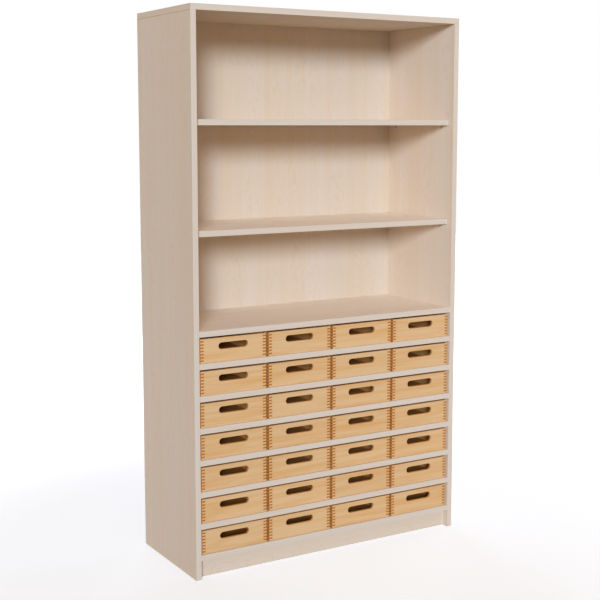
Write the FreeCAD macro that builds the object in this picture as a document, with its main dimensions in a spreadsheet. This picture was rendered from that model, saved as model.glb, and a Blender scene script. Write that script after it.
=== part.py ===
"""Tall classroom cabinet: open shelves above, four columns of loose wooden trays below.

Frame: millimetres, +Z up, X across the width, the front faces -Y.
The origin is at the floor, under the middle of the cabinet.
"""
import FreeCAD, Part
import os
import re

import Sketcher

V = FreeCAD.Vector
NEAR = 1e-6  # mm within which two places are the same

# Driving sizes. Lengths in mm, counts as plain numbers.
SIZES = {
    # carcass boards
    "board_thickness": 19,
    "band_thickness": 2,
    "plinth_height": 61,
    "plinth_setback": 25,
    # clear heights of the three open compartments, from the tray block upwards
    "lower_compartment": 291.5,
    "middle_compartment": 325,
    "upper_compartment": 325.5,
    # back panel, let into grooves in the sides and the top
    "back_thickness": 8,
    "back_setback": 9,
    "back_groove_depth": 8,
    "back_play": 0.2,
    "back_floor_gap": 10,
    # loose shelves and the pins that carry them
    "loose_shelf_setback": 25,
    "loose_side_play": 1,
    "loose_rear_play": 2,
    "support_front_inset": 66,
    "support_rear_inset": 44,
    "support_width": 12,
    "support_drop": 9.5,
    "support_plate": 1.5,
    "support_reach": 12,
    "support_corner": 3,
    "pin_diameter": 5,
    "pin_length": 8.5,
    "pin_below_shelf": 5,
    # dowels and screws
    "fit_play": 0.05,
    "hole_end_play": 0.5,
    "dowel_diameter": 8,
    "dowel_length": 34,
    "dowel_in_side": 12,
    "dowel_bevel": 1,
    "dowel_front_inset": 50,
    "dowel_rear_inset": 50,
    "plinth_dowel_spacing": 30,
    "screw_diameter": 4,
    "screw_length": 30,
    "screw_tip": 4,
    "screw_head_diameter": 8,
    "screw_head_height": 2.6,
    "screw_head_rim": 1,
    "screw_side_inset": 91,
    # trays: their block, their outside and their joints
    "tray_rows": 7,
    "tray_columns": 4,
    "tray_width": 235,
    "tray_height": 77,
    "tray_depth": 375,
    "tray_gap": 10,
    "tray_side_gap": 6,
    "tray_headroom": 7,
    "tray_setback": 8,
    "tray_board": 12,
    "finger_count": 7,
    "end_finger": 5.35,
    "slot_length": 104,
    "slot_height": 20,
    "slot_drop": 27,
    "slot_rounding": 3,
    "tray_bottom_thickness": 4,
    "tray_bottom_lift": 6,
    "tray_groove_depth": 5,
    "tray_groove_play": 0.2,
}

# Sizes and places worked out from the driving ones.
DERIVED = {
    # the carcass is built round its trays
    "inner_width": "tray_columns * tray_width + (tray_columns - 1) * tray_gap + 2 * tray_side_gap",
    "cabinet_width": "inner_width + 2 * board_thickness",
    "inner_depth": "tray_setback + tray_depth",
    "cabinet_depth": "inner_depth + back_thickness + back_setback",
    "shelf_pitch": "board_thickness + tray_height + tray_headroom",
    "base_top": "plinth_height + board_thickness",
    "tray_block_top": "base_top + tray_rows * shelf_pitch",
    "lower_shelf_underside": "tray_block_top + lower_compartment",
    "upper_shelf_underside": "lower_shelf_underside + board_thickness + middle_compartment",
    "side_height": "upper_shelf_underside + board_thickness + upper_compartment",
    # where the main faces stand
    "outer_left": "-cabinet_width / 2",
    "inner_left": "-inner_width / 2",
    "front_face": "-cabinet_depth / 2",
    "core_front": "front_face + band_thickness",
    "back_face": "front_face + inner_depth",
    "core_depth": "cabinet_depth - band_thickness",
    "shelf_core_depth": "inner_depth - band_thickness",
    "shelf_middle": "board_thickness / 2",
    "base_shelf_middle": "base_top - shelf_middle",
    # back panel and its grooves
    "back_groove_width": "back_thickness + back_play",
    "back_groove_left": "board_thickness - back_groove_depth",
    "back_tongue": "back_groove_depth - back_play",
    "back_width": "inner_width + 2 * back_tongue",
    "back_height": "side_height + back_tongue - back_floor_gap",
    # loose shelves
    "loose_shelf_width": "inner_width - 2 * loose_side_play",
    "loose_shelf_depth": "inner_depth - loose_shelf_setback - loose_rear_play - band_thickness",
    "loose_front": "front_face + loose_shelf_setback",
    # dowels, measured in a board from its core front
    "dowel_hole": "dowel_diameter + 2 * fit_play",
    "dowel_in_shelf": "dowel_length - dowel_in_side",
    "side_hole_depth": "dowel_in_side + hole_end_play",
    "shelf_hole_depth": "dowel_in_shelf + hole_end_play",
    "dowel_front": "dowel_front_inset - band_thickness",
    "dowel_rear": "shelf_core_depth - dowel_rear_inset",
    "dowel_centre": "(dowel_front + dowel_rear) / 2",
    "plinth_front": "plinth_setback - band_thickness",
    "plinth_dowel": "plinth_front + shelf_middle",
    "rail_front": "shelf_core_depth - board_thickness",
    "rail_dowel": "rail_front + shelf_middle",
    "plinth_dowel_low": "(plinth_height - plinth_dowel_spacing) / 2",
    "plinth_dowel_high": "(plinth_height + plinth_dowel_spacing) / 2",
    # shelf supports
    "pin_hole": "pin_diameter + 2 * fit_play",
    "pin_hole_depth": "pin_length + hole_end_play",
    "support_front": "support_front_inset - band_thickness",
    "support_rear": "shelf_core_depth - support_rear_inset",
    "lower_pin_height": "lower_shelf_underside - pin_below_shelf",
    "upper_pin_height": "upper_shelf_underside - pin_below_shelf",
    # back screws
    "screw_hole": "screw_diameter + 2 * fit_play",
    "screw_hole_depth": "screw_length - back_thickness + hole_end_play",
    "screw_start": "back_face + back_thickness - screw_length",
    # trays
    "tray_pitch": "tray_width + tray_gap",
    "tray_front": "back_face - tray_depth",
    "finger_height": "(tray_height - 2 * end_finger) / (2 * finger_count - 1)",
    "finger_travel": "(finger_count - 1) * 2 * finger_height",
    "tray_groove_start": "tray_board - tray_groove_depth",
    "tray_groove_height": "tray_bottom_thickness + tray_groove_play",
    "tray_bottom_start": "tray_groove_start + tray_groove_play",
    "slot_radius": "slot_height / 2",
    "slot_left": "(tray_width - slot_length) / 2 + slot_radius",
    "slot_right": "(tray_width + slot_length) / 2 - slot_radius",
    "slot_centre_height": "tray_height - slot_drop",
    "slot_round": "slot_rounding < tray_board * 0.45 ? slot_rounding : tray_board * 0.45",
}

doc = FreeCAD.newDocument("tray_cabinet")
sheet = doc.addObject("Spreadsheet::Sheet", "sizes")
for row, (name, value) in enumerate({**SIZES, **DERIVED}.items(), start=1):
    sheet.set(f"A{row}", name)
    sheet.set(f"B{row}", f"={value}" if name in DERIVED else str(value))
    sheet.setAlias(f"B{row}", name)
doc.recompute()


# ---------------------------------------------------------------- document helpers

def from_sheet(formula):
    """Point each size that a formula names at its cell."""
    return re.sub(r"[a-z]\w+", lambda word: "sizes." + word.group(), formula)


def number(formula):
    """The present value of a formula of sizes, in mm."""
    return float(sheet.evalExpression(from_sheet(formula)))


def bind(item, sizes):
    """Tie properties of an object to formulas of sizes."""
    for prop, formula in sizes.items():
        item.setExpression(prop, from_sheet(formula))


def place(item, x="0", y="0", z="0"):
    bind(item, {
        "Placement.Base.x": x,
        "Placement.Base.y": y,
        "Placement.Base.z": z,
    })
    return item


def new_body(label):
    body = doc.addObject("PartDesign::Body", label)
    body.Label = label
    return body


def origin_feature(body, role):
    return next(item for item in body.Origin.OriginFeatures if item.Role == role)


def new_sketch(body, plane, offset=None):
    """A sketch on one of the body's own planes, moved along its normal by offset."""
    sketch = body.newObject("Sketcher::SketchObject", "sketch")
    sketch.AttachmentSupport = [(origin_feature(body, plane), "")]
    sketch.MapMode = "FlatFace"
    if offset:
        bind(sketch, {"AttachmentOffset.Base.z": offset})
    return sketch


def dimension(sketch, kind, targets, formula):
    index = sketch.addConstraint(Sketcher.Constraint(kind, *targets, number(formula)))
    bind(sketch, {f"Constraints[{index}]": formula})


def locate(sketch, geometry, point, x, y):
    """Hold a point of a sketch at x, y from its origin."""
    for kind, axis, formula in (("DistanceX", -2, x), ("DistanceY", -1, y)):
        if formula == "0":
            sketch.addConstraint(Sketcher.Constraint("PointOnObject", geometry, point, axis))
        else:
            dimension(sketch, kind, (-1, 1, geometry, point), formula)


def polygon(sketch, corners):
    """A closed outline of straight lines through corners, each an (x, y) pair of formulas."""
    points = [V(number(x), number(y), 0) for x, y in corners]
    first = sketch.GeometryCount
    for start, end in zip(points, points[1:] + points[:1]):
        sketch.addGeometry(Part.LineSegment(start, end))
    for index, (x, y) in enumerate(corners):
        before = first + (index - 1) % len(corners)
        sketch.addConstraint(Sketcher.Constraint("Coincident", before, 2, first + index, 1))
        locate(sketch, first + index, 1, x, y)


def rectangle(sketch, x, y, width, height):
    right = f"{x} + {width}"
    top = f"{y} + {height}"
    polygon(sketch, [(x, y), (right, y), (right, top), (x, top)])


def circles(sketch, centres, diameter):
    for x, y in centres:
        middle = V(number(x), number(y), 0)
        index = sketch.addGeometry(Part.Circle(middle, V(0, 0, 1), number(diameter) / 2))
        dimension(sketch, "Diameter", (index,), diameter)
        locate(sketch, index, 3, x, y)


def slot(sketch, left, right, height, radius):
    """A long hole with round ends, between two centres at the same height."""
    size = number(radius)
    ends = V(number(left), number(height), 0), V(number(right), number(height), 0)
    reach = V(size, 0, 0)
    rise = V(0, size, 0)
    sketch.addGeometry(Part.Arc(ends[0] + rise, ends[0] - reach, ends[0] - rise))
    sketch.addGeometry(Part.LineSegment(ends[0] - rise, ends[1] - rise))
    sketch.addGeometry(Part.Arc(ends[1] - rise, ends[1] + reach, ends[1] + rise))
    sketch.addGeometry(Part.LineSegment(ends[1] + rise, ends[0] + rise))
    joints = ((0, 2, 1, 1), (1, 2, 2, 1), (2, 2, 3, 1), (3, 2, 0, 1))
    for joint in joints:
        sketch.addConstraint(Sketcher.Constraint("Tangent", *joint))
    sketch.addConstraint(Sketcher.Constraint("Horizontal", 1))
    dimension(sketch, "Radius", (0,), radius)
    locate(sketch, 0, 3, left, height)
    dimension(sketch, "DistanceX", (-1, 1, 2, 3), right)


def feature(body, kind, sketch, sizes, reverse=False):
    item = body.newObject("PartDesign::" + kind, kind.lower())
    item.Profile = sketch
    item.Reversed = reverse
    bind(item, sizes)
    return item


def pad(body, sketch, length, reverse=False):
    return feature(body, "Pad", sketch, {"Length": length}, reverse)


def pocket(body, sketch, depth=None, reverse=False):
    """Cut a sketch to a depth, or right through where no depth is given."""
    item = feature(body, "Pocket", sketch, {"Length": depth} if depth else {}, reverse)
    if not depth:
        item.Type = "ThroughAll"
    return item


def repeat_upwards(body, original, travel, count):
    pattern = body.newObject("PartDesign::LinearPattern", "pattern")
    pattern.Originals = [original]
    pattern.Direction = (origin_feature(body, "Z_Axis"), [""])
    bind(pattern, {"Length": travel, "Occurrences": count})
    body.Tip = pattern
    return pattern


def dress(body, kind, base, wanted, sizes):
    """Fillet or chamfer the edges of base that wanted picks."""
    doc.recompute()
    names = [f"Edge{i}" for i, edge in enumerate(base.Shape.Edges, start=1) if wanted(edge)]
    item = body.newObject("PartDesign::" + kind, kind.lower())
    item.Base = (base, names)
    bind(item, sizes)
    body.Tip = item
    return item


def group(label, members, **at):
    """Several solids as one sub-part, placed together."""
    item = doc.addObject("Part::Compound", label)
    item.Label = label
    item.Links = members
    return place(item, **at)


def copies(label, master, places):
    """Copies of a master at several places, as one sub-part."""
    return group(label, [group(f"{label}_copy", [master], **at) for at in places])


def mirrored(label, source, middle="0"):
    """The other hand of a sub-part, across the plane X = middle."""
    item = doc.addObject("Part::Mirroring", label)
    item.Label = label
    item.Source = source
    item.Normal = V(1, 0, 0)
    bind(item, {"Base.x": middle})
    return item


def block(label, length, width, height, **at):
    """A plain strip or sheet."""
    item = doc.addObject("Part::Box", label)
    item.Label = label
    bind(item, {"Length": length, "Width": width, "Height": height})
    return place(item, **at)


def board(label, length, width, height):
    """A board that starts as a plain blank, lower left front corner at its own origin."""
    body = new_body(label)
    sketch = new_sketch(body, "XY_Plane")
    rectangle(sketch, "0", "0", length, width)
    pad(body, sketch, height)
    return body


nodes = []


# ---------------------------------------------------------------- carcass

# from the core's front edge backwards, and for the screws from the left side to the right
DOWEL_PLACES = ("dowel_front", "dowel_centre", "dowel_rear")
SCREW_PLACES = ("screw_side_inset", "inner_width / 2", "inner_width - screw_side_inset")
PLINTH_DOWELS = [
    (across, up)
    for across in ("plinth_dowel", "rail_dowel")
    for up in ("plinth_dowel_low", "plinth_dowel_high")
]
SUPPORT_HOLES = [
    (across, up)
    for across in ("support_front", "support_rear")
    for up in ("lower_pin_height", "upper_pin_height")
]


def side_panel():
    """Left side: back groove, dowel holes on the inside and in the top edge, pin holes."""
    side = board("left_side_panel", "board_thickness", "core_depth", "side_height")
    groove = new_sketch(side, "XY_Plane")
    rectangle(groove, "back_groove_left", "shelf_core_depth", "back_groove_depth", "back_groove_width")
    pocket(side, groove, reverse=True)

    shelf_holes = new_sketch(side, "YZ_Plane", "board_thickness")
    circles(shelf_holes, [(at, "base_shelf_middle") for at in DOWEL_PLACES], "dowel_hole")
    bored = pocket(side, shelf_holes, "side_hole_depth")
    repeat_upwards(side, bored, "tray_rows * shelf_pitch", "tray_rows + 1")

    plinth_holes = new_sketch(side, "YZ_Plane", "board_thickness")
    circles(plinth_holes, PLINTH_DOWELS, "dowel_hole")
    pocket(side, plinth_holes, "side_hole_depth")

    pin_holes = new_sketch(side, "YZ_Plane", "board_thickness")
    circles(pin_holes, SUPPORT_HOLES, "pin_hole")
    pocket(side, pin_holes, "pin_hole_depth")

    top_holes = new_sketch(side, "XY_Plane", "side_height")
    circles(top_holes, [("shelf_middle", at) for at in DOWEL_PLACES], "dowel_hole")
    pocket(side, top_holes, "shelf_hole_depth")
    return place(side, "outer_left", "core_front")


def top_panel():
    """Lies over both sides. The back groove and the dowel holes are in its underside."""
    panel = board("top_panel", "cabinet_width - 2 * band_thickness", "core_depth", "board_thickness")
    groove = new_sketch(panel, "XY_Plane")
    rectangle(
        groove, "back_groove_left - band_thickness", "shelf_core_depth",
        "inner_width + 2 * back_groove_depth", "back_groove_width")
    pocket(panel, groove, "back_groove_depth", reverse=True)

    holes = new_sketch(panel, "XY_Plane")
    left = "shelf_middle - band_thickness"
    right = "cabinet_width - shelf_middle - band_thickness"
    circles(holes, [(x, y) for x in (left, right) for y in DOWEL_PLACES], "dowel_hole")
    pocket(panel, holes, "side_hole_depth", reverse=True)
    return place(panel, "outer_left + band_thickness", "core_front", "side_height")


def bore_ends(body, centres):
    """Dowel holes in both ends of a board that reaches from side to side."""
    left = new_sketch(body, "YZ_Plane")
    circles(left, centres, "dowel_hole")
    pocket(body, left, "shelf_hole_depth", reverse=True)
    right = new_sketch(body, "YZ_Plane", "inner_width")
    circles(right, centres, "dowel_hole")
    pocket(body, right, "shelf_hole_depth")


def fixed_shelf():
    """The one pattern that all fixed shelves are made to."""
    shelf = board("fixed_shelf", "inner_width", "shelf_core_depth", "board_thickness")
    bore_ends(shelf, [(at, "shelf_middle") for at in DOWEL_PLACES])
    holes = new_sketch(shelf, "XZ_Plane", "-shelf_core_depth")
    circles(holes, [(x, "shelf_middle") for x in SCREW_PLACES], "screw_hole")
    pocket(shelf, holes, "screw_hole_depth", reverse=True)
    return shelf


def plinth(label, front):
    rail = board(label, "inner_width", "board_thickness", "plinth_height")
    bore_ends(rail, [("shelf_middle", up) for up in ("plinth_dowel_low", "plinth_dowel_high")])
    return place(rail, "inner_left", f"core_front + {front}")


def back_panel():
    panel = board("back_panel", "back_width", "back_thickness", "back_height")
    holes = new_sketch(panel, "XZ_Plane")
    low = "base_shelf_middle - back_floor_gap"
    circles(holes, [(f"{x} + back_tongue", low) for x in SCREW_PLACES], "screw_hole")
    bored = pocket(panel, holes)
    repeat_upwards(panel, bored, "tray_rows * shelf_pitch", "tray_rows + 1")
    return place(panel, "inner_left - back_tongue", "back_face", "back_floor_gap")


left_side = side_panel()
shelf_blank = fixed_shelf()
nodes += [
    left_side,
    mirrored("right_side_panel", left_side),
    top_panel(),
    plinth("plinth_board", "plinth_front"),
    plinth("rear_plinth_rail", "rail_front"),
    back_panel(),
]

tray_rows = int(sheet.tray_rows)
tray_columns = int(sheet.tray_columns)
shelf_labels = ["base_shelf"]
shelf_labels += [f"tray_shelf_{level}" for level in range(1, tray_rows)]
shelf_labels += ["middle_shelf"]
for level, label in enumerate(shelf_labels):
    up = f"plinth_height + {level} * shelf_pitch"
    nodes.append(group(label, [shelf_blank], x="inner_left", y="core_front", z=up))


# ---------------------------------------------------------------- edge bands

def side_band(label, x):
    return block(label, "board_thickness", "band_thickness", "side_height", x=x, y="front_face")


def shelf_band(label, length, **at):
    return block(label, length, "band_thickness", "board_thickness", **at)


end_band = ("band_thickness", "core_depth", "board_thickness")
nodes += [
    side_band("left_side_edge_band", "outer_left"),
    side_band("right_side_edge_band", "-inner_left"),
    group("top_edge_bands", [
        shelf_band("top_front_band", "cabinet_width", x="outer_left", y="front_face", z="side_height"),
        block("top_left_band", *end_band, x="outer_left", y="core_front", z="side_height"),
        block(
            "top_right_band", *end_band,
            x="-outer_left - band_thickness", y="core_front", z="side_height"),
    ]),
    copies(
        "fixed_shelf_edge_bands", shelf_band("fixed_shelf_band", "inner_width"),
        [{"x": "inner_left", "y": "front_face", "z": f"plinth_height + {level} * shelf_pitch"}
         for level in range(len(shelf_labels))]),
]


# ---------------------------------------------------------------- dowels and screws

def dowel_pin():
    """Beech dowel along X with bevelled ends."""
    body = new_body("dowel")
    sketch = new_sketch(body, "YZ_Plane")
    circles(sketch, [("0", "0")], "dowel_diameter")
    rod = pad(body, sketch, "dowel_length")
    dress(body, "Chamfer", rod, lambda edge: len(edge.Vertexes) == 1, {"Size": "dowel_bevel"})
    return body


def both_ends(across, up):
    """Places of the two dowels, left and right, that hold one point of a board's ends."""
    return [
        {"x": x, "y": f"core_front + {across}", "z": up}
        for x in ("inner_left - dowel_in_side", "-inner_left - dowel_in_shelf")
    ]


def back_screw():
    """Pan-head screw along Y. Its point is at its own origin and its head is at the rear."""
    body = new_body("back_screw")
    sketch = new_sketch(body, "XY_Plane")
    shank = "screw_diameter / 2"
    head = "screw_head_diameter / 2"
    crown = "screw_length + screw_head_height"
    polygon(sketch, [
        ("0", "0"),
        (shank, "screw_tip"),
        (shank, "screw_length"),
        (head, "screw_length"),
        (head, "screw_length + screw_head_rim"),
        (shank, crown),
        ("0", crown),
    ])
    turned = feature(body, "Revolution", sketch, {})
    turned.ReferenceAxis = (sketch, ["V_Axis"])
    turned.Angle = 360
    return body


dowel = dowel_pin()
shelf_dowel_places = [
    spot
    for level in range(len(shelf_labels))
    for across in DOWEL_PLACES
    for spot in both_ends(across, f"base_shelf_middle + {level} * shelf_pitch")
]
plinth_dowel_places = [spot for across, up in PLINTH_DOWELS for spot in both_ends(across, up)]

upright_dowel = group("upright_dowel", [dowel])
upright_dowel.Placement.Rotation = FreeCAD.Rotation(V(0, 1, 0), -90)
top_dowel_places = [
    {"x": x, "y": f"core_front + {across}", "z": "side_height - dowel_in_shelf"}
    for x in ("outer_left + shelf_middle", "-outer_left - shelf_middle")
    for across in DOWEL_PLACES
]
screw_places = [
    {"x": f"inner_left + {x}", "y": "screw_start", "z": f"base_shelf_middle + {level} * shelf_pitch"}
    for level in range(len(shelf_labels))
    for x in SCREW_PLACES
]
nodes += [
    copies("shelf_dowels", dowel, shelf_dowel_places),
    copies("plinth_dowels", dowel, plinth_dowel_places),
    copies("top_dowels", upright_dowel, top_dowel_places),
    copies("back_panel_screws", back_screw(), screw_places),
]


# ---------------------------------------------------------------- loose shelves

def shelf_support():
    """Steel angle with a pin. It stands against the left side, and the pin enters the side."""
    body = new_body("shelf_support")
    section = new_sketch(body, "XZ_Plane")
    under_ledge = "support_drop - support_plate"
    polygon(section, [
        ("0", "0"),
        ("support_plate", "0"),
        ("support_plate", under_ledge),
        ("support_reach", under_ledge),
        ("support_reach", "support_drop"),
        ("0", "support_drop"),
    ])
    angle = pad(body, section, "support_width", reverse=True)
    reach = number("support_reach")
    dress(
        body, "Fillet", angle,
        lambda edge: all(abs(end.X - reach) < NEAR for end in edge.Vertexes)
        and abs(edge.Vertexes[0].Y - edge.Vertexes[1].Y) < NEAR,
        {"Radius": "support_corner"})
    pin = new_sketch(body, "YZ_Plane")
    circles(pin, [("support_width / 2", "support_drop - pin_below_shelf")], "pin_diameter")
    pad(body, pin, "pin_length", reverse=True)
    return body


support = shelf_support()
left_pair = copies("left_supports", support, [
    {"x": "inner_left", "y": f"core_front + {across} - support_width / 2"}
    for across in ("support_front", "support_rear")
])
supports = [left_pair, mirrored("right_supports", left_pair)]
for level in ("lower", "upper"):
    underside = f"{level}_shelf_underside"
    shelf = board(f"{level}_loose_shelf", "loose_shelf_width", "loose_shelf_depth", "board_thickness")
    left = "inner_left + loose_side_play"
    nodes += [
        place(shelf, left, "loose_front + band_thickness", underside),
        shelf_band(f"{level}_loose_shelf_band", "loose_shelf_width", x=left, y="loose_front", z=underside),
        group(f"{level}_shelf_supports", supports, z=f"{underside} - support_drop"),
    ]


# ---------------------------------------------------------------- trays

def finger_rows(body, plane, far, cut):
    """Fingers at both ends of a tray board, as notches cut in it or tongues added to it."""
    sketch = new_sketch(body, plane)
    for start in ("0", f"{far} - tray_board"):
        rectangle(sketch, start, "end_finger", "tray_board", "finger_height")
    one_row = pocket(body, sketch) if cut else pad(body, sketch, "tray_board")
    repeat_upwards(body, one_row, "finger_travel", "finger_count")


def bottom_groove(body, x, y, length, width):
    sketch = new_sketch(body, "XY_Plane", "tray_bottom_lift")
    rectangle(sketch, x, y, length, width)
    pocket(body, sketch, "tray_groove_height", reverse=True)


def end_board(label, groove_from):
    """Front or back of a tray, with the notches of its finger joints."""
    body = board(label, "tray_width", "tray_board", "tray_height")
    finger_rows(body, "XZ_Plane", "tray_width", cut=True)
    bottom_groove(
        body, "tray_groove_start", groove_from,
        "tray_width - 2 * tray_groove_start", "tray_groove_depth")
    return body


def cut_handle(front):
    """Finger slot with rounded edges on both faces."""
    sketch = new_sketch(front, "XZ_Plane")
    slot(sketch, "slot_left", "slot_right", "slot_centre_height", "slot_radius")
    hole = pocket(front, sketch)
    faces = (0, number("tray_board"))
    middle = V(number("tray_width / 2"), 0, number("slot_centre_height"))
    reach = number("slot_length / 2")

    def on_rim(edge):
        ends = [vertex.Point for vertex in edge.Vertexes]
        on_face = any(all(abs(end.y - face) < NEAR for end in ends) for face in faces)
        rise = number("slot_radius") + NEAR
        return on_face and all(
            abs(end.x - middle.x) < reach and abs(end.z - middle.z) < rise for end in ends)

    dress(front, "Fillet", hole, on_rim, {"Radius": "slot_round"})


def side_board():
    """Left side of a tray: the long part between the joints, then its tongues."""
    body = new_body("tray_left_board")
    sketch = new_sketch(body, "YZ_Plane")
    rectangle(sketch, "tray_board", "0", "tray_depth - 2 * tray_board", "tray_height")
    pad(body, sketch, "tray_board")
    finger_rows(body, "YZ_Plane", "tray_depth", cut=False)
    bottom_groove(
        body, "tray_groove_start", "tray_groove_start",
        "tray_groove_depth", "tray_depth - 2 * tray_groove_start")
    return body


tray_front_board = end_board("tray_front_board", "tray_groove_start")
cut_handle(tray_front_board)
tray_left_board = side_board()
tray_boards = [
    tray_front_board,
    place(end_board("tray_back_board", "0"), y="tray_depth - tray_board"),
    tray_left_board,
    mirrored("tray_right_board", tray_left_board, "tray_width / 2"),
    block(
        "tray_bottom", "tray_width - 2 * tray_bottom_start", "tray_depth - 2 * tray_bottom_start",
        "tray_bottom_thickness", x="tray_bottom_start", y="tray_bottom_start", z="tray_bottom_lift"),
]
for row in range(tray_rows):
    up = f"tray_block_top - {row + 1} * shelf_pitch"
    for column in range(tray_columns):
        across = f"inner_left + tray_side_gap + {column} * tray_pitch"
        label = f"tray_row_{row + 1}_column_{column + 1}"
        nodes.append(group(label, tray_boards, x=across, y="tray_front", z=up))


# ---------------------------------------------------------------- check and write

def direction(step):
    """1 for a step that adds material, -1 for one that takes it away."""
    if step.TypeId == "PartDesign::LinearPattern":
        return direction(step.Originals[0])
    return 1 if step.TypeId in ("PartDesign::Pad", "PartDesign::Revolution") else -1


def check_document():
    """Stop if an object failed, or if a step of a body changed nothing or cut the wrong way."""
    for item in doc.Objects:
        if {"Invalid", "Error"} & set(item.State):
            raise RuntimeError(f"{item.Label} failed: {item.State}")
    for body in doc.findObjects("PartDesign::Body"):
        volume = 0
        for step in body.Group:
            if not step.isDerivedFrom("PartDesign::Feature"):
                continue
            if direction(step) * (step.Shape.Volume - volume) <= 0:
                raise RuntimeError(f"{body.Label}: {step.Name} changed nothing")
            volume = step.Shape.Volume


def write_nodes():
    os.makedirs("parts", exist_ok=True)
    for node in nodes:
        if node.Shape.isNull() or not node.Shape.isValid():
            raise RuntimeError(f"{node.Label} has no valid shape")
        node.Shape.exportStep(f"parts/{node.Label}.step")
        print(node.Label, len(node.Shape.Solids), round(node.Shape.Volume / 1000, 1), "cm3")


doc.recompute()
check_document()
write_nodes()
box = Part.makeCompound([node.Shape for node in nodes]).BoundBox
print(len(nodes), "nodes,", round(box.XLength, 3), "x", round(box.YLength, 3), "x", round(box.ZLength, 3))
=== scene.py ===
import math
import random

import bmesh
import bpy
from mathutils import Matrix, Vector
from mathutils.geometry import tessellate_polygon


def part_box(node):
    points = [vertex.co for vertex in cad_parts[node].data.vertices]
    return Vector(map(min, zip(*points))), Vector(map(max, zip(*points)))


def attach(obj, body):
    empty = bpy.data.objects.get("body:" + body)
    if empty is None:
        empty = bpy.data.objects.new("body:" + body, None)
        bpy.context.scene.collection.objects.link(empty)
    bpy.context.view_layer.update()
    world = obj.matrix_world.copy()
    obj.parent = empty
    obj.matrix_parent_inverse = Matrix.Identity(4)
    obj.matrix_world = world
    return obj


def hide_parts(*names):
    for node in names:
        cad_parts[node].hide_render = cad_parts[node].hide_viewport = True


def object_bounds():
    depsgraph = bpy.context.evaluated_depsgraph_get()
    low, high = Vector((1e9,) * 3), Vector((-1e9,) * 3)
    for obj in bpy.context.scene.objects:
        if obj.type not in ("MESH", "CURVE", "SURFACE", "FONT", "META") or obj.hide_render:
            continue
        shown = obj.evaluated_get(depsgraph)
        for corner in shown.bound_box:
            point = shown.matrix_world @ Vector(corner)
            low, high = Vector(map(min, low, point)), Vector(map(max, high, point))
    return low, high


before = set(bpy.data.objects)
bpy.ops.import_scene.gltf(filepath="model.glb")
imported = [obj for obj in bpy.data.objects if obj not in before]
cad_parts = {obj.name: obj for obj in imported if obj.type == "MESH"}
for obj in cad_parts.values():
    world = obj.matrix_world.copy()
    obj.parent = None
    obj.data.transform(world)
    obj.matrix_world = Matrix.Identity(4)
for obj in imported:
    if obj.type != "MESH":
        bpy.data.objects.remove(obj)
cad_box = [list(corner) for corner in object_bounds()]
scene = bpy.context.scene
scene.view_settings.view_transform = "Standard"


# ---- camera -------------------------------------------------------------------------------------
# A short telephoto, four metres off to the left of the cabinet and at eye height, tipped down
# a little so that the whole cabinet stands in the frame.
eye = bpy.data.objects.new("camera", bpy.data.cameras.new("camera"))
eye.location = (-2.0774, -3.4497, 1.4355)
eye.rotation_euler = (math.radians(82.874), 0, math.radians(-30.970))
eye.data.lens = 70.71
eye.data.shift_y = -0.045
scene.collection.objects.link(eye)
scene.camera = eye


# ---- light --------------------------------------------------------------------------------------
# One broad daylight lamp low on the left in front gives the soft-edged shadows of the top and
# the left side inside the compartments. A warm fill comes from all round the room, helped by
# weak softboxes overhead and on the right. Two more light the right side and the back.
def linear(code):
    """The linear colour of an sRGB hex code."""
    parts = [int(code[i:i + 2], 16) / 255 for i in (1, 3, 5)]
    return tuple(c / 12.92 if c <= 0.04045 else ((c + 0.055) / 1.055) ** 2.4 for c in parts) + (1,)


def add(tree, kind, inputs=None, **settings):
    """Adds a node with its settings, and its inputs as values or as links from other sockets."""
    made = tree.nodes.new(kind)
    for key, value in settings.items():
        setattr(made, key, value)
    for key, value in (inputs or {}).items():
        if isinstance(value, bpy.types.NodeSocket):
            tree.links.new(value, made.inputs[key])
        else:
            made.inputs[key].default_value = value
    return made


key_lamp = bpy.data.lights.new("key_lamp", "SUN")
key_lamp.energy = 2.93
key_lamp.angle = math.radians(13)
key_lamp.color = linear("#E2F0FF")[:3]
key = bpy.data.objects.new("key_lamp", key_lamp)
key.rotation_euler = Vector((0.595, 1.0, -0.28)).to_track_quat("-Z", "Y").to_euler()
scene.collection.objects.link(key)

cabinet_middle = Vector((0, 0, cad_box[1][2] / 2))
for name, place, size, watts, tint in (
        ("over_softbox", (-0.3, -2.6, 3.6), (3.0, 2.0), 12, "#FFFFFF"),
        ("right_softbox", (3.2, -2.6, 1.5), (2.6, 2.4), 18, "#FFDDAA"),
        ("right_rear_softbox", (3.6, 0.9, 1.6), (2.4, 2.4), 34, "#E2EEFF"),
        ("rear_softbox", (0.8, 4.0, 1.8), (2.6, 2.2), 60, "#E2EEFF")):
    lamp = bpy.data.lights.new(name, "AREA")
    lamp.shape = "RECTANGLE"
    lamp.size, lamp.size_y = size
    lamp.energy = watts
    lamp.color = linear(tint)[:3]
    softbox = bpy.data.objects.new(name, lamp)
    softbox.location = place
    aim = cabinet_middle - softbox.location
    softbox.rotation_euler = aim.to_track_quat("-Z", "Y").to_euler()
    softbox.visible_camera = False
    scene.collection.objects.link(softbox)


def seen_rays(tree):
    """One for the rays that see the background: straight, by reflection or through glass."""
    path = add(tree, "ShaderNodeLightPath").outputs
    seen = add(tree, "ShaderNodeMath", {0: path["Is Camera Ray"], 1: path["Is Glossy Ray"]},
               operation="MAXIMUM")
    return add(tree, "ShaderNodeMath", {0: seen.outputs[0], 1: path["Is Transmission Ray"]},
               operation="MAXIMUM").outputs[0]


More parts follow.
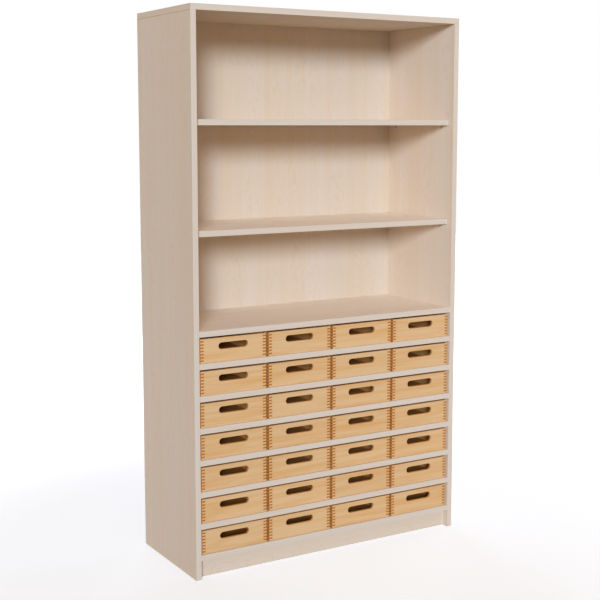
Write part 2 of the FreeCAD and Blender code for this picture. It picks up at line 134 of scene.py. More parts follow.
# the room fills with warm light, and is plain white where it is seen
room = bpy.data.worlds.new("room")
room.use_nodes = True
scene.world = room
tree = room.node_tree
tree.nodes.clear()
fill = add(tree, "ShaderNodeBackground", {"Color": linear("#FFD49C"), "Strength": 0.28})
white = add(tree, "ShaderNodeBackground", {"Color": (1, 1, 1, 1), "Strength": 1.0})
either = add(tree, "ShaderNodeMixShader", {0: seen_rays(tree), 1: fill.outputs[0],
                                           2: white.outputs[0]})
add(tree, "ShaderNodeOutputWorld", {"Surface": either.outputs[0]})


# ---- floor --------------------------------------------------------------------------------------
# A plain pale studio floor. The camera sees it brighter than it is lit, and brighter still with
# distance, so that it runs into the white background and still keeps the cabinet's soft shadow.
def finish(name):
    """An empty material of that name and its node tree."""
    made = bpy.data.materials.new(name)
    made.use_nodes = True
    made.node_tree.nodes.clear()
    return made, made.node_tree


FLOOR_REACH, FLOOR_DROP = 9.0, 0.0004
NEAR, FAR = 0.9, 2.6
NEAR_GLOW, FAR_GLOW = 0.49, 1.0
sheet = bpy.data.meshes.new("floor")
sheet.from_pydata([(x * FLOOR_REACH, y * FLOOR_REACH, -FLOOR_DROP)
                   for x, y in ((-1, -1), (1, -1), (1, 1), (-1, 1))], [], [(0, 1, 2, 3)])
floor = bpy.data.objects.new("floor", sheet)
scene.collection.objects.link(floor)
paint, tree = finish("pale_studio_floor")
here = add(tree, "ShaderNodeTexCoord").outputs["Object"]
away = add(tree, "ShaderNodeVectorMath", {0: here}, operation="LENGTH")
rise = add(tree, "ShaderNodeMapRange", {0: away.outputs["Value"], 1: NEAR, 2: FAR,
                                        3: NEAR_GLOW, 4: FAR_GLOW},
           interpolation_type="SMOOTHSTEP")
glow = add(tree, "ShaderNodeEmission", {"Color": (1, 1, 1, 1), "Strength": rise.outputs[0]})
pale = add(tree, "ShaderNodeBsdfDiffuse", {"Color": linear("#D9E1ED")})
lit = add(tree, "ShaderNodeAddShader", {0: pale.outputs[0], 1: glow.outputs[0]})
# what the floor throws back at the cabinet is that of a plain grey one
matt = add(tree, "ShaderNodeBsdfDiffuse", {"Color": linear("#BDB6AB")})
both = add(tree, "ShaderNodeMixShader", {0: seen_rays(tree), 1: matt.outputs[0],
                                         2: lit.outputs[0]})
add(tree, "ShaderNodeOutputMaterial", {"Surface": both.outputs[0]})
floor.data.materials.append(paint)


# ---- sides --------------------------------------------------------------------------------------
# Two 19 mm side panels of melamine-faced chipboard that run down to the floor. Their pale maple
# paper has its grain upright, and a thin line of raw board shows where the top lies on them.
# Here the paper is drawn paler than on the front-facing boards: painted light on these sideways
# faces.
RAW_BOARD = "#D8B98C"
RAW_EDGE = 0.0016


def melamine(name, grain, stave_mm, pale, deep, raw_above=None):
    """Maple-printed paper under a matt resin film: soft changes of hue, a dull even gloss. The
    grain runs along one axis, 0 to 2."""
    made, tree = finish(name)
    here = add(tree, "ShaderNodeTexCoord").outputs["Object"]
    split = add(tree, "ShaderNodeSeparateXYZ", {0: here}).outputs
    side_axes = [axis for axis in range(3) if axis != grain]
    across = add(tree, "ShaderNodeMath", {0: split[side_axes[0]], 1: split[side_axes[1]]},
                 operation="ADD").outputs[0]

    def streaks(width_mm, length_mm, detail, shift=0.0):
        """Noise whose patches are so wide across the grain and so long along it."""
        sizes = [1000 / width_mm] * 3
        sizes[grain] = 1000 / length_mm
        place = add(tree, "ShaderNodeMapping", {"Vector": here, "Scale": sizes,
                                                "Location": (shift, shift * 1.7, shift * 0.6)})
        return add(tree, "ShaderNodeTexNoise", {"Vector": place.outputs[0], "Scale": 1.0,
                                                "Detail": detail, "Roughness": 0.5}).outputs[0]

    # the paper shows staves of nearly one width, some whiter and some more amber
    spread = add(tree, "ShaderNodeMath", {0: across, 1: 1000 / stave_mm}, operation="MULTIPLY")
    stave = add(tree, "ShaderNodeTexVoronoi", {"W": spread.outputs[0], "Scale": 1.0,
                                               "Randomness": 0.25}, voronoi_dimensions="1D")
    chance = add(tree, "ShaderNodeSeparateColor", {0: stave.outputs["Color"]}).outputs
    # each stave's own cast, broad soft streaks and fine ones, which centre halfway to the deep hue
    layers = ((chance[0], 0.35), (streaks(34, 700, 1.5), 1.0), (streaks(3.0, 150, 3.0, 7.7), 0.9))
    tone = 0.5 - sum(gain for _, gain in layers) / 2
    for part, gain in layers:
        tone = add(tree, "ShaderNodeMath", {0: part, 1: gain, 2: tone},
                   operation="MULTIPLY_ADD").outputs[0]
    # cathedral figure: in each stave nested arches of thin threads, clear in some places only
    arch_mm, steepness, sway_by, start_by = 72, 16.0, 8.0, 40.0
    off = add(tree, "ShaderNodeMath", {0: spread.outputs[0], 1: stave.outputs["W"]},
              operation="SUBTRACT")
    arch = add(tree, "ShaderNodeMath", {0: off.outputs[0], 1: 2.0}, operation="POWER")
    arch = add(tree, "ShaderNodeMath", {0: arch.outputs[0], 1: steepness}, operation="MULTIPLY")
    rise = add(tree, "ShaderNodeMath", {0: split[grain], 1: 2 * 1000 / arch_mm,
                                        2: arch.outputs[0]}, operation="MULTIPLY_ADD")
    sway = add(tree, "ShaderNodeMath", {0: streaks(38, 80, 2.0, 3.1), 1: sway_by,
                                        2: rise.outputs[0]}, operation="MULTIPLY_ADD")
    own = add(tree, "ShaderNodeMath", {0: chance[2], 1: start_by, 2: sway.outputs[0]},
              operation="MULTIPLY_ADD")
    wave = add(tree, "ShaderNodeMath", {0: own.outputs[0], 1: 1.0}, operation="PINGPONG")
    line = add(tree, "ShaderNodeMapRange", {0: wave.outputs[0], 1: 0.5, 2: 1.0, 3: -0.25, 4: 0.75},
               interpolation_type="SMOOTHSTEP")
    clear = add(tree, "ShaderNodeMapRange", {0: streaks(70, 380, 1.0, 5.3), 1: 0.42, 2: 0.62,
                                             3: 0.1, 4: 0.6})
    tone = add(tree, "ShaderNodeMath", {0: line.outputs[0], 1: clear.outputs[0], 2: tone},
               operation="MULTIPLY_ADD")
    body = add(tree, "ShaderNodeMix", {0: tone.outputs[0], 6: linear(pale), 7: linear(deep)},
               data_type="RGBA")
    # short flecks, a shade lighter or darker
    fleck = add(tree, "ShaderNodeMapRange", {0: streaks(1.6, 30, 2.0, 9.1), 1: 0.3, 2: 0.7,
                                             3: 0.985, 4: 1.015})
    colour = add(tree, "ShaderNodeVectorMath", {0: body.outputs[2], 1: fleck.outputs[0]},
                 operation="MULTIPLY").outputs[0]
    if raw_above is not None:
        raw = add(tree, "ShaderNodeMath", {0: split[2], 1: raw_above}, operation="GREATER_THAN")
        colour = add(tree, "ShaderNodeMix", {0: raw.outputs[0], 6: colour, 7: linear(RAW_BOARD)},
                     data_type="RGBA").outputs[2]
    # the film's dull gloss breaks up over pores almost a millimetre wide
    pores = streaks(0.8, 9, 2.0, 11.0)
    gloss = add(tree, "ShaderNodeMapRange", {0: pores, 3: 0.40, 4: 0.52})
    dents = add(tree, "ShaderNodeBump", {"Height": pores, "Distance": 0.00008, "Strength": 0.35})
    skin = add(tree, "ShaderNodeBsdfPrincipled", {"Base Color": colour,
                                                  "Roughness": gloss.outputs[0],
                                                  "Normal": dents.outputs[0], "IOR": 1.5,
                                                  "Specular IOR Level": 0.08})
    add(tree, "ShaderNodeOutputMaterial", {"Surface": skin.outputs[0]})
    return made


def dress(names, material):
    """Gives CAD nodes a material."""
    for name in names:
        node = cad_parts[name]
        node.data.materials.clear()
        node.data.materials.append(material)


side_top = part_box("left_side_panel")[1][2]
# the paler copy of the paper, painted light on the sides' sideways faces
dress(["left_side_panel", "right_side_panel"],
      melamine("melamine_maple_upright_painted_light", grain=2, stave_mm=84, pale="#E7D8C9", deep="#E4CFB8",
               raw_above=side_top - RAW_EDGE))


# ---- top, plinth and fixed shelves --------------------------------------------------------------
# The top lies over both sides, and eight fixed shelves and two plinth boards stand between them,
# all cut from the same board with its grain running from side to side. The large shelf over the
# trays, and the two loose shelves, get a much paler copy of that paper: painted light and painted
# sheen on their tops.
FIXED_SHELVES = ["base_shelf"] + [f"tray_shelf_{i}" for i in range(1, 7)] + ["middle_shelf"]
dress(["top_panel", "plinth_board", "rear_plinth_rail"] + FIXED_SHELVES[:-1],
      melamine("melamine_maple_lengthwise", grain=0, stave_mm=84, pale="#D8CABB", deep="#D6C2AB"))
# a much paler copy of the paper, painted light and painted sheen for the shelves' tops
painted_light_shelf_board = melamine("melamine_maple_shelf_painted_light", grain=0, stave_mm=84, pale="#F9EDE1",
                       deep="#F7E5D1")
dress(["middle_shelf"], painted_light_shelf_board)


# ---- back ---------------------------------------------------------------------------------------
# One 8 mm panel, faced with the same paper and grooved into the sides and the top, its grain
# upright.
dress(["back_panel"],
      melamine("melamine_maple_back", grain=2, stave_mm=86, pale="#D6C8BA", deep="#D4C0A8"))


# ---- edge bands ---------------------------------------------------------------------------------
# Two-millimetre ABS edging glued to every front edge and to the ends of the top, its outer
# corners scraped round. It is printed in the board's colour, a little greyer, with fine threads
# along its length. On the ends of the top it is drawn paler, as on the sides: painted light on
# those sideways faces.
BAND_THICK, BAND_ROUND = 0.002, 0.0008
EDGING_PALE, EDGING_DEEP = "#D5CABF", "#D3C4B4"
SHARP, TOUCHING = math.radians(50), 1e-6


def edging(name, threads_mm, pale, deep):
    """Extruded ABS with a satin skin and fine printed threads, each as wide and long as the sizes
    along the axes say."""
    made, tree = finish(name)
    here = add(tree, "ShaderNodeTexCoord").outputs["Object"]
    # threads of two widths, laid over each other
    shade = []
    for factor, shift in ((1.0, 0.0), (0.35, 5.0)):
        place = add(tree, "ShaderNodeMapping", {
            "Vector": here, "Location": (shift, shift, shift),
            "Scale": [1000 / (size * (factor if size < max(threads_mm) else 1))
                      for size in threads_mm]})
        shade.append(add(tree, "ShaderNodeTexNoise", {"Vector": place.outputs[0], "Scale": 1.0,
                                                      "Detail": 2.0}).outputs[0])
    both = add(tree, "ShaderNodeMix", {0: 0.4, 2: shade[0], 3: shade[1]}).outputs[0]
    tone = add(tree, "ShaderNodeMapRange", {0: both, 1: 0.36, 2: 0.64})
    body = add(tree, "ShaderNodeMix", {0: tone.outputs[0], 6: linear(pale), 7: linear(deep)},
               data_type="RGBA")
    skin = add(tree, "ShaderNodeBsdfPrincipled", {"Base Color": body.outputs[2],
                                                  "Roughness": 0.42, "IOR": 1.5,
                                                  "Specular IOR Level": 0.12})
    add(tree, "ShaderNodeOutputMaterial", {"Surface": skin.outputs[0]})
    return made


def banding(node, body, strips, *materials):
    """Edging on a CAD node: each strip has its low and high corner, the axes of its long edges
    and the way it faces. The first material is for strips that face front, the next for ends."""
    made = bmesh.new()
    for low, high, runs, (axis_out, way) in strips:
        corners = [made.verts.new([(low, high)[(i >> axis) & 1][axis] for axis in range(3)])
                   for i in range(8)]
        for face in ((0, 2, 3, 1), (4, 5, 7, 6), (0, 1, 5, 4), (2, 6, 7, 3), (0, 4, 6, 2),
                     (1, 3, 7, 5)):
            made.faces.new([corners[i] for i in face]).material_index = int(axis_out == 0)
        outer = (high if way > 0 else low)[axis_out]
        rounded = []
        for edge in {edge for corner in corners for edge in corner.link_edges}:
            start, end = (vert.co for vert in edge.verts)
            is_outer = all(abs(point[axis_out] - outer) < TOUCHING for point in (start, end))
            is_long = any(abs(start[run] - end[run]) > TOUCHING for run in runs)
            if is_outer and is_long:
                rounded.append(edge)
        rounded.sort(key=lambda edge: [round(c, 6) for vert in edge.verts for c in vert.co])
        bmesh.ops.bevel(made, geom=rounded, offset=BAND_ROUND, segments=3, profile=0.5,
                        affect="EDGES")
    mesh = bpy.data.meshes.new(f"{node}_edging")
    made.to_mesh(mesh)
    made.free()
    for material in materials:
        mesh.materials.append(material)
    mesh.polygons.foreach_set("use_smooth", [True] * len(mesh.polygons))
    mesh.set_sharp_from_angle(angle=SHARP)
    edge = bpy.data.objects.new(f"{node}_edging", mesh)
    scene.collection.objects.link(edge)
    even = edge.modifiers.new("even_shading", "WEIGHTED_NORMAL")
    even.keep_sharp = True
    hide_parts(node)
    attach(edge, body)


FRONT, LEFT, RIGHT = (1, -1), (0, -1), (0, 1)
upright_edging = edging("abs_edging_upright", (4.5, 4.5, 700), EDGING_PALE, EDGING_DEEP)
for node in ("left_side_edge_band", "right_side_edge_band"):
    banding(node, "cabinet", [(*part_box(node), (2,), FRONT)], upright_edging)

level_edging = edging("abs_edging_lengthwise", (700, 700, 4.5), EDGING_PALE, EDGING_DEEP)
# paler edging on the top's ends, painted light on their sideways faces
painted_light_end_edging = edging("abs_edging_ends_painted_light", (700, 700, 4.5), "#EAD8C6", "#DCC6B2")
low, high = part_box("top_edge_bands")
behind = low[1] + BAND_THICK
banding("top_edge_bands", "cabinet", [
    (low, (high[0], behind, high[2]), (0, 2), FRONT),
    ((low[0], behind, low[2]), (low[0] + BAND_THICK, high[1], high[2]), (1, 2), LEFT),
    ((high[0] - BAND_THICK, behind, low[2]), high, (1, 2), RIGHT)], level_edging, painted_light_end_edging)

low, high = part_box("fixed_shelf_edge_bands")
strips = []
for shelf in FIXED_SHELVES:
    under, over = (corner[2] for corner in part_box(shelf))
    strips.append(((low[0], low[1], under), (high[0], high[1], over), (0,), FRONT))
banding("fixed_shelf_edge_bands", "cabinet", strips, level_edging)


# ---- loose shelves ------------------------------------------------------------------------------
# Two shelves of the same board with a band of their own, laid on four supports each and set back
# from the front.
# the paler shelf paper: painted light and painted sheen on the shelves' tops
dress(["lower_loose_shelf", "upper_loose_shelf"], painted_light_shelf_board)
for body in ("lower_loose_shelf", "upper_loose_shelf"):
    banding(f"{body}_band", body, [(*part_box(f"{body}_band"), (0,), FRONT)], level_edging)


# ---- shelf supports and dowels ------------------------------------------------------------------
# Nickel-plated steel pins with a small bearing plate under the loose shelves, and beech dowels
# glued inside the joints.
HAZE_MM, FLECK_MM = 1.43, 1.11


def plated(name, colour, rough):
    """Bright plating with the faint haze of a barrel-polished small part, drawn coarse enough to
    show."""
    made, tree = finish(name)
    here = add(tree, "ShaderNodeTexCoord").outputs["Object"]
    haze = add(tree, "ShaderNodeTexNoise", {"Vector": here, "Scale": 1000 / HAZE_MM,
                                            "Detail": 2.0})
    gloss = add(tree, "ShaderNodeMapRange", {0: haze.outputs[0], 3: rough - 0.08, 4: rough + 0.1})
    skin = add(tree, "ShaderNodeBsdfPrincipled", {"Base Color": linear(colour), "Metallic": 1.0,
                                                  "Roughness": gloss.outputs[0]})
    add(tree, "ShaderNodeOutputMaterial", {"Surface": skin.outputs[0]})
    return made


dress(["lower_shelf_supports", "upper_shelf_supports"],
      plated("nickel_plated_steel", "#CFCAC0", 0.28))

# plain turned beech: light brown with short darker flecks, quite matt
peg, tree = finish("beech_dowel")
here = add(tree, "ShaderNodeTexCoord").outputs["Object"]
fleck = add(tree, "ShaderNodeTexNoise", {"Vector": here, "Scale": 1000 / FLECK_MM, "Detail": 2.0})
body = add(tree, "ShaderNodeMix", {0: fleck.outputs[0], 6: linear("#D9B68C"),
                                   7: linear("#C49A6C")}, data_type="RGBA")
skin = add(tree, "ShaderNodeBsdfPrincipled", {"Base Color": body.outputs[2], "Roughness": 0.6})
add(tree, "ShaderNodeOutputMaterial", {"Surface": skin.outputs[0]})
dress(["shelf_dowels", "plinth_dowels", "top_dowels"], peg)


# ---- back screws --------------------------------------------------------------------------------
# Zinc-plated pan-head screws, 4 by 30 mm, driven through the back panel into each fixed shelf.
# Their domed heads are pressed with a cross recess, and stopped at any turn.
HEAD_RADIUS, HEAD_HIGH, HEAD_RIM, HEAD_FLAT = 0.004, 0.0026, 0.001, 0.0024
SHANK_RADIUS, POINT_LONG = 0.002, 0.004
CROSS_DEEP = 0.0015
CROSS_TOP, CROSS_FLOOR = (0.0021, 0.0005), (0.0010, 0.0003)
ROUND_SIDES, DOME_STEPS = 24, 6
SCREWS_WIDE = 3

low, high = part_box("back_panel_screws")
seat = high[1] - HEAD_HIGH
lathe = [(SHANK_RADIUS, low[1] + POINT_LONG), (SHANK_RADIUS, seat), (HEAD_RADIUS, seat)]
for step in range(DOME_STEPS + 1):
    turn = math.pi / 2 * step / DOME_STEPS
    lathe.append((HEAD_FLAT + (HEAD_RADIUS - HEAD_FLAT) * math.cos(turn),
                  seat + HEAD_RIM + (HEAD_HIGH - HEAD_RIM) * math.sin(turn)))


def cross(reach, half):
    """The corners of a cross with arms so long and so wide, in order round it."""
    corners = []
    for x, z in ((1, 0), (0, 1), (-1, 0), (0, -1)):
        corners += [(reach * x + half * z, reach * z - half * x),
                    (reach * x - half * z, reach * z + half * x),
                    (half * (x - z), half * (z + x))]
    return corners


def circle(radius):
    """Corners of a circle."""
    turns = [math.tau * i / ROUND_SIDES for i in range(ROUND_SIDES)]
    return [(radius * math.cos(turn), radius * math.sin(turn)) for turn in turns]


def screw(made, x, z, spin):
    """One screw on that axis, its recess turned by spin."""
    def ring(flat, y):
        """A loop of corners at a height along the screw."""
        return [made.verts.new((x + u * math.cos(spin) - w * math.sin(spin), y,
                                z + u * math.sin(spin) + w * math.cos(spin))) for u, w in flat]

    tip = made.verts.new((x, low[1], z))
    rounds = [ring(circle(radius), y) for radius, y in lathe]
    mouth = ring(cross(*CROSS_TOP), high[1])
    bed = ring(cross(*CROSS_FLOOR), high[1] - CROSS_DEEP)
    for i in range(ROUND_SIDES):
        made.faces.new((tip, rounds[0][i - 1], rounds[0][i]))
        for below, above in zip(rounds, rounds[1:]):
            made.faces.new((below[i - 1], below[i], above[i], above[i - 1]))
    crown = rounds[-1] + mouth
    flat = [[Vector((vert.co.x, vert.co.z, 0)) for vert in rim] for rim in (rounds[-1], mouth)]
    for corners in tessellate_polygon(flat):
        made.faces.new([crown[i] for i in corners])
    for i in range(len(mouth)):
        made.faces.new((mouth[i - 1], mouth[i], bed[i], bed[i - 1]))
    made.faces.new(bed)


made = bmesh.new()
turns = random.Random(24)
left, lowest = low[0] + HEAD_RADIUS, low[2] + HEAD_RADIUS
right, highest = high[0] - HEAD_RADIUS, high[2] - HEAD_RADIUS
for level in range(len(FIXED_SHELVES)):
    z = lowest + (highest - lowest) * level / (len(FIXED_SHELVES) - 1)
    for place in range(SCREWS_WIDE):
        x = left + (right - left) * place / (SCREWS_WIDE - 1)
        screw(made, x, z, turns.uniform(0, math.pi / 2))
bmesh.ops.recalc_face_normals(made, faces=made.faces)
mesh = bpy.data.meshes.new("back_screws")
made.to_mesh(mesh)
made.free()
mesh.materials.append(plated("zinc_plated_steel", "#C6C9CC", 0.34))
mesh.polygons.foreach_set("use_smooth", [True] * len(mesh.polygons))
mesh.set_sharp_from_angle(angle=math.radians(35))
screws = bpy.data.objects.new("back_screws", mesh)
scene.collection.objects.link(screws)
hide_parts("back_panel_screws")
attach(screws, "cabinet")


# ---- trays --------------------------------------------------------------------------------------
# Twenty-eight trays of 12 mm solid softwood, finger-jointed at all four corners, with a long
# round-ended grip slot through the front and a thin plywood bottom let into the boards.
TRAY_ROWS, TRAY_COLUMNS = 7, 4
TRAY_WIDE, TRAY_DEEP, TRAY_HIGH = 0.235, 0.375, 0.077
BOARD = 0.012
END_FINGER, FINGER, FINGERS = 0.00535, 0.0051, 13
TOP_ROUND, ARRIS = 0.0012, 0.00025
ROUNDING_DEPTHS = [0, 0.00008, 0.0004]
SLOT_HALF, SLOT_RADIUS, SLOT_HEIGHT, SLOT_ROUND = 0.042, 0.010, 0.050, 0.003
SLOT_MIDWAY_DEPTH, SLOT_ARC_STEPS = 0.0009, 12
BOTTOM_LOW, BOTTOM_HIGH = 0.006, 0.010
LEVEL, NO_AREA = 1e-9, 1e-14

steps = [0, END_FINGER] + [END_FINGER + FINGER * (i + 1) for i in range(FINGERS)] + [TRAY_HIGH]


def inset(depth, radius):
    """How far a rounded edge draws in at a depth below the face."""
    if depth >= radius:
        return 0.0
    return radius - math.sqrt(radius ** 2 - (radius - depth) ** 2)


def fingered(length, own):
    """Outline of a board with fingers at both ends. It owns the even or the odd intervals."""
    left = []
    for i in range(len(steps) - 1):
        end = 0.0 if i % 2 == own else BOARD
        left += [(end, steps[i]), (end, steps[i + 1])]
    return left + [(length - s, h) for s, h in reversed(left)]


def loop_at(outline, depth):
    """The outline drawn in at a depth below the face, most at the top edge."""
    drawn = []
    count = len(outline)
    for i, (s, h) in enumerate(outline):
        for a, b in ((outline[i - 1], outline[i]), (outline[i], outline[(i + 1) % count])):
            ds, dh = b[0] - a[0], b[1] - a[1]
            top = abs(dh) < LEVEL and abs(a[1] - TRAY_HIGH) < TOUCHING
            by = inset(depth, TOP_ROUND if top else ARRIS)
            size = math.hypot(ds, dh)
            s += dh / size * by
            h -= ds / size * by
        drawn.append((s, h))
    return drawn


def slot_at(depth):
    """The grip slot's rim at a depth below the face, wider near both faces."""
    radius = SLOT_RADIUS + inset(depth, SLOT_ROUND)
    rim = []
    for end, first in ((1, -math.pi / 2), (-1, math.pi / 2)):
        for i in range(SLOT_ARC_STEPS + 1):
            turn = first + math.pi * i / SLOT_ARC_STEPS
            rim.append((TRAY_WIDE / 2 + end * SLOT_HALF + radius * math.cos(turn),
                        SLOT_HEIGHT + radius * math.sin(turn)))
    return rim


def plate(outline, slotted):
    """A board as points and faces: loops of its rounded outline from face to face, and loops of
    the slot's rim where it has one."""
    near = ROUNDING_DEPTHS + [TOP_ROUND]
    if slotted:
        near = ROUNDING_DEPTHS + [SLOT_MIDWAY_DEPTH, TOP_ROUND, SLOT_ROUND]
    depths = near + [BOARD - d for d in reversed(near)]
    points, faces = [], []
    size = len(outline)
    for depth in depths:
        points += [(s, depth, h) for s, h in loop_at(outline, min(depth, BOARD - depth))]
    for k in range(len(depths) - 1):
        for i in range(size):
            j = (i + 1) % size
            faces.append((k * size + i, k * size + j, (k + 1) * size + j, (k + 1) * size + i))
    if slotted:
        rims = [[(s, depth, h) for s, h in slot_at(min(depth, BOARD - depth))] for depth in depths]
        rim_start, rim_size = len(points), len(rims[0])
        points += [point for rim in rims for point in rim]
        for k in range(len(depths) - 1):
            for i in range(rim_size):
                j = (i + 1) % rim_size
                a, b = rim_start + k * rim_size, rim_start + (k + 1) * rim_size
                faces.append((a + j, a + i, b + i, b + j))
    for k in (0, len(depths) - 1):
        rings = [list(range(k * size, (k + 1) * size))]
        if slotted:
            rings.append(list(range(rim_start + k * rim_size, rim_start + (k + 1) * rim_size)))
        flat = [[Vector((points[i][0], points[i][2], 0)) for i in ring] for ring in rings]
        joined = [i for ring in rings for i in ring]
        for a, b, c in tessellate_polygon(flat):
            u, v, w = (points[joined[i]] for i in (a, b, c))
            turn = (v[0] - u[0]) * (w[2] - u[2]) - (v[2] - u[2]) * (w[0] - u[0])
            if abs(turn) < NO_AREA:
                continue
            tri = (joined[a], joined[b], joined[c])
            faces.append(tri if (turn > 0) == (k == 0) else tri[::-1])
    return points, faces


front_plate = plate(fingered(TRAY_WIDE, 0), True)
back_plate = plate(fingered(TRAY_WIDE, 0), False)
side_plate = plate(fingered(TRAY_DEEP, 1), False)
base_points = [(x, y, z) for z in (BOTTOM_LOW, BOTTOM_HIGH) for x, y in (
    (BOARD, BOARD), (TRAY_WIDE - BOARD, BOARD), (TRAY_WIDE - BOARD, TRAY_DEEP - BOARD),
    (BOARD, TRAY_DEEP - BOARD))]
base_faces = [(3, 2, 1, 0), (4, 5, 6, 7), (0, 1, 5, 4), (1, 2, 6, 5), (2, 3, 7, 6), (3, 0, 4, 7)]

# each board: its points set in the tray, its faces, its fibre's direction and its material
ACROSS, BACKWARDS = (1, 0, 0), (0, 1, 0)
SOLID, PLY = 0, 1
boards = [
    (front_plate[0], front_plate[1], ACROSS, SOLID),
    ([(s, TRAY_DEEP - t, h) for s, t, h in back_plate[0]],
     [f[::-1] for f in back_plate[1]], ACROSS, SOLID),
    ([(t, s, h) for s, t, h in side_plate[0]], [f[::-1] for f in side_plate[1]],
     BACKWARDS, SOLID),
    ([(TRAY_WIDE - t, s, h) for s, t, h in side_plate[0]], side_plate[1], BACKWARDS, SOLID),
    (base_points, base_faces, BACKWARDS, PLY),
]

points, faces, owner, kinds = [], [], [], []
for index, (own_points, own_faces, _, kind) in enumerate(boards):
    start = len(points)
    points += own_points
    owner += [index] * len(own_points)
    faces += [tuple(start + i for i in face) for face in own_faces]
    kinds += [kind] * len(own_faces)
# the slot's rim is sanded and sealed, so it shows no end grain
slot_reach = SLOT_HALF + SLOT_RADIUS + SLOT_ROUND + TOUCHING
fibres = []
for (x, _, _), index in zip(points, owner):
    in_slot = index == 0 and abs(x - TRAY_WIDE / 2) < slot_reach
    fibres += (0, 0, 0) if in_slot else boards[index][2]
# painted shade: the inner faces and the slot's rim are drawn darker and more amber, the outer
# faces, seen in the narrow gaps between trays, a little less, and the front not at all
FULL_SHADE, PART_SHADE, NO_SHADE = 1.0, 0.7, 0.0
painted_shade_levels = []
for face in faces:
    across = sum(points[i][0] for i in face) / len(face)
    deep = sum(points[i][1] for i in face) / len(face)
    if deep < ROUNDING_DEPTHS[-1]:
        painted_shade_levels.append(NO_SHADE)
    elif min(across, TRAY_WIDE - across, TRAY_DEEP - deep) < ROUNDING_DEPTHS[-1]:
        painted_shade_levels.append(PART_SHADE)
    else:
        painted_shade_levels.append(FULL_SHADE)

# clear-lacquered planed softwood: warm straw colour with soft darker bands and fine growth lines,
# a satin sheen, and end grain soaked to an orange brown
BAND_SPACING, PITH_OFF, BAND_WANDER = 0.018, 0.045, 0.05
# the warm, darker tint of the painted shade on the trays' inner and outer faces
SHADE_TINT = (1.0, 0.77, 0.50)
wood, tree = finish("lacquered_softwood")
grain = add(tree, "ShaderNodeAttribute", attribute_name="grain").outputs["Vector"]
fibre = add(tree, "ShaderNodeAttribute", attribute_name="fibre").outputs["Vector"]
tone = add(tree, "ShaderNodeAttribute", attribute_name="tone").outputs["Fac"]


def wood_noise(width_mm, length_mm, detail, shift=0.0):
    """Noise along the boards' own grain."""
    place = add(tree, "ShaderNodeMapping", {
        "Vector": grain, "Scale": (1000 / length_mm, 1000 / width_mm, 1000 / width_mm),
        "Location": (shift, shift, shift)})
    return add(tree, "ShaderNodeTexNoise", {"Vector": place.outputs[0], "Scale": 1.0,
                                            "Detail": detail}).outputs[0]


# growth bands 18 mm apart round the pith, bent by a slow wander, as a flat-sawn board shows them
bend = add(tree, "ShaderNodeMath", {0: wood_noise(60, 420, 1.0), 1: BAND_WANDER},
           operation="MULTIPLY")
parts = add(tree, "ShaderNodeSeparateXYZ", {0: grain})
heart = add(tree, "ShaderNodeMath", {0: parts.outputs[2], 1: PITH_OFF}, operation="ADD")
square = add(tree, "ShaderNodeMath", {0: parts.outputs[1], 1: parts.outputs[1]},
             operation="MULTIPLY")
square = add(tree, "ShaderNodeMath", {0: heart.outputs[0], 1: heart.outputs[0],
                                      2: square.outputs[0]}, operation="MULTIPLY_ADD")
radius = add(tree, "ShaderNodeMath", {0: square.outputs[0]}, operation="SQRT")
radius = add(tree, "ShaderNodeMath", {0: radius.outputs[0], 1: bend.outputs[0]}, operation="ADD")
rings = add(tree, "ShaderNodeMath", {0: radius.outputs[0], 1: 2 / BAND_SPACING},
            operation="MULTIPLY")
rings = add(tree, "ShaderNodeMath", {0: rings.outputs[0], 1: 1.0}, operation="PINGPONG")
late = add(tree, "ShaderNodeMapRange", {0: rings.outputs[0], 1: 0.55, 2: 1.0, 3: 0.0, 4: 0.3},
           interpolation_type="SMOOTHSTEP")
streak = add(tree, "ShaderNodeMapRange", {0: wood_noise(20, 320, 2.0, 4.0), 1: 0.42, 2: 0.70})
body = add(tree, "ShaderNodeMix", {0: streak.outputs[0], 6: linear("#D7B488"),
                                   7: linear("#D4A772")}, data_type="RGBA")
body = add(tree, "ShaderNodeMix", {0: late.outputs[0], 6: body.outputs[2],
                                   7: linear("#CC9A5E")}, data_type="RGBA")
thread = add(tree, "ShaderNodeMapRange", {0: wood_noise(1.6, 60, 3.0, 9.0), 1: 0.3, 2: 0.7,
                                          3: 0.955, 4: 1.035})
body = add(tree, "ShaderNodeVectorMath", {0: body.outputs[2], 1: thread.outputs[0]},
           operation="MULTIPLY")
# no two boards are quite alike
cast = add(tree, "ShaderNodeMapRange", {0: tone, 1: -1.0, 2: 1.0, 3: 0.985, 4: 1.015})
body = add(tree, "ShaderNodeVectorMath", {0: body.outputs[0], 1: cast.outputs[0]},
           operation="MULTIPLY")
facing = add(tree, "ShaderNodeNewGeometry").outputs["Normal"]
# painted shade on the boards' top edges too, which lie in the dark gap under the shelf above
top_edge_shade = add(tree, "ShaderNodeSeparateXYZ", {0: facing})
top_edge_shade = add(tree, "ShaderNodeMapRange", {0: top_edge_shade.outputs[2], 1: 0.8, 2: 1.0})
length = add(tree, "ShaderNodeVectorMath", {0: fibre}, operation="LENGTH")
top_edge_shade = add(tree, "ShaderNodeMath", {0: top_edge_shade.outputs[0], 1: length.outputs["Value"]},
             operation="MULTIPLY")
painted_shade = add(tree, "ShaderNodeAttribute", attribute_name="painted_shade").outputs["Fac"]
painted_shade = add(tree, "ShaderNodeMath", {0: painted_shade, 1: top_edge_shade.outputs[0]}, operation="MAXIMUM")
# where shade is painted the wood is drawn darker and warmer
shaded_wood = add(tree, "ShaderNodeVectorMath", {0: body.outputs[0], 1: SHADE_TINT}, operation="MULTIPLY")
body = add(tree, "ShaderNodeMix", {0: painted_shade.outputs[0], 6: body.outputs[0], 7: shaded_wood.outputs[0]},
           data_type="RGBA")
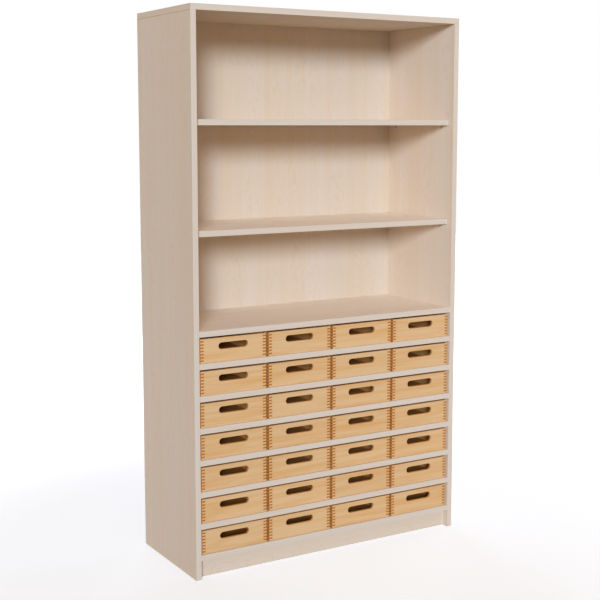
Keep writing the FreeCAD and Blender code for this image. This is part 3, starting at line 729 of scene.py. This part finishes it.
# end grain shows where a face looks along its board's fibre
along = add(tree, "ShaderNodeVectorMath", {0: facing, 1: fibre}, operation="DOT_PRODUCT")
along = add(tree, "ShaderNodeMath", {0: along.outputs["Value"]}, operation="ABSOLUTE")
cut = add(tree, "ShaderNodeMapRange", {0: along.outputs[0], 1: 0.35, 2: 0.9})
ends = add(tree, "ShaderNodeMix", {0: thread.outputs[0], 6: linear("#A45B17"),
                                   7: linear("#B56F23")}, data_type="RGBA")
body = add(tree, "ShaderNodeMix", {0: cut.outputs[0], 6: body.outputs[2], 7: ends.outputs[2]},
           data_type="RGBA")
relief = add(tree, "ShaderNodeBump", {"Height": thread.outputs[0], "Distance": 0.0002,
                                      "Strength": 0.3})
gloss = add(tree, "ShaderNodeMapRange", {0: thread.outputs[0], 1: 0.9, 2: 1.1, 3: 0.38, 4: 0.5})
skin = add(tree, "ShaderNodeBsdfPrincipled", {
    "Base Color": body.outputs[2], "Roughness": gloss.outputs[0], "Normal": relief.outputs[0],
    "IOR": 1.5, "Specular IOR Level": 0.2})
add(tree, "ShaderNodeOutputMaterial", {"Surface": skin.outputs[0]})

# lacquered birch plywood: quieter than the boards and duller, amber from its lacquer and drawn
# darker still as painted shade for the inside of the tray
ply, tree = finish("birch_plywood")
grain = add(tree, "ShaderNodeAttribute", attribute_name="grain").outputs["Vector"]
streak = wood_noise(14, 240, 2.0)
# its dark amber is partly painted shade for the tray's floor
body = add(tree, "ShaderNodeMix", {0: streak, 6: linear("#C38748"), 7: linear("#B37739")},
           data_type="RGBA")
skin = add(tree, "ShaderNodeBsdfPrincipled", {"Base Color": body.outputs[2], "Roughness": 0.62,
                                              "IOR": 1.5, "Specular IOR Level": 0.1})
add(tree, "ShaderNodeOutputMaterial", {"Surface": skin.outputs[0]})

# each board is cut from another place of the log
ALONG_LOG, ACROSS_LOG, OFF_PITH = (0, 9), (-0.045, 0.025), (0, 0.05)
chance = random.Random(28)
for row in range(1, TRAY_ROWS + 1):
    for column in range(1, TRAY_COLUMNS + 1):
        name = f"tray_row_{row}_column_{column}"
        low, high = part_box(name)
        mesh = bpy.data.meshes.new(f"wooden_{name}")
        mesh.from_pydata([(low[0] + x, low[1] + y, low[2] + z) for x, y, z in points], [], faces)
        mesh.materials.append(wood)
        mesh.materials.append(ply)
        mesh.polygons.foreach_set("material_index", kinds)
        mesh.polygons.foreach_set("use_smooth", [True] * len(faces))
        offsets = [[chance.uniform(*span) for span in (ALONG_LOG, ACROSS_LOG, OFF_PITH)]
                   for _ in boards]
        tones = [chance.uniform(-1, 1) for _ in boards]
        # along the fibre, across the board's face and through its thickness
        grains = []
        for (x, y, z), index in zip(points, owner):
            _, _, runs, kind = boards[index]
            turned = (x, z, y) if runs == ACROSS else (y, x, z) if kind == PLY else (y, z, x)
            grains += [a + b for a, b in zip(turned, offsets[index])]
        shades = [tones[index] for index in owner]
        mesh.attributes.new("grain", "FLOAT_VECTOR", "POINT").data.foreach_set("vector", grains)
        mesh.attributes.new("fibre", "FLOAT_VECTOR", "POINT").data.foreach_set("vector", fibres)
        mesh.attributes.new("tone", "FLOAT", "POINT").data.foreach_set("value", shades)
        # the painted shade, face by face
        mesh.attributes.new("painted_shade", "FLOAT", "FACE").data.foreach_set("value", painted_shade_levels)
        mesh.set_sharp_from_angle(angle=SHARP)
        tray = bpy.data.objects.new(f"wooden_{name}", mesh)
        scene.collection.objects.link(tray)
        even = tray.modifiers.new("even_shading", "WEIGHTED_NORMAL")
        even.keep_sharp = True
        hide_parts(name)
        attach(tray, name)
